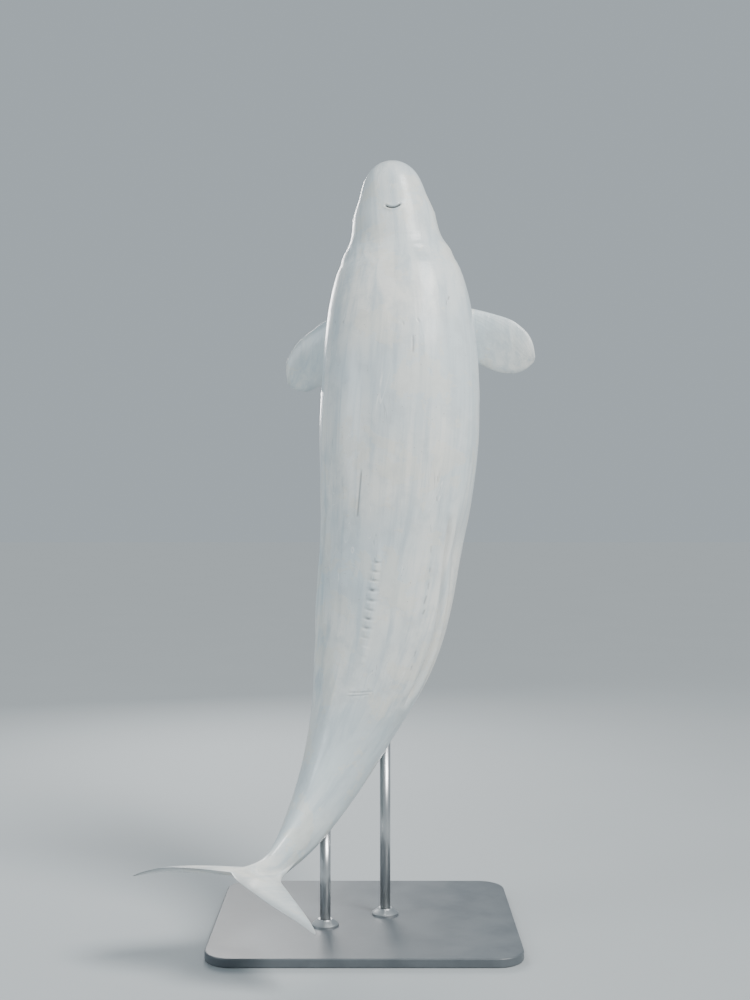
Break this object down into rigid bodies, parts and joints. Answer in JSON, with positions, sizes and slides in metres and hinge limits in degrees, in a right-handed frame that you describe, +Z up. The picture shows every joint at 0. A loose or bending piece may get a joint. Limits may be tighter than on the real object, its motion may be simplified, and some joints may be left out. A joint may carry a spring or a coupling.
{
  "type": "beluga whale on a display stand",
  "caption": "Life-size adult beluga whale hanging upright with its tail flexed towards its back, held on a plain base by two upright rods.",
  "frame": {"origin": "middle of the base plate's underside, on the floor", "axes": "+Z up, towards the whale's head; +X towards the whale's right flipper; -Y behind its back, where the flukes point"},
  "size_m": [1.9601, 1.6884, 3.9729],
  "materials": {
    "skin": "satin",
    "eye": "gloss",
    "base": "satin",
    "rod": "satin"
  },
  "bodies": {
    "root": {"head": "skin", "neck": "skin", "chest": "skin", "belly": "skin", "tail_stock": "skin", "fluke_left": "skin", "fluke_right": "skin", "flipper_left": "skin", "flipper_right": "skin", "eye_left": "eye", "eye_right": "eye", "stand_base": "base", "stand_rod_long": "rod", "stand_rod_short": "rod", "stand_collar_long": "rod", "stand_collar_short": "rod"}
  },
  "joints": []
}
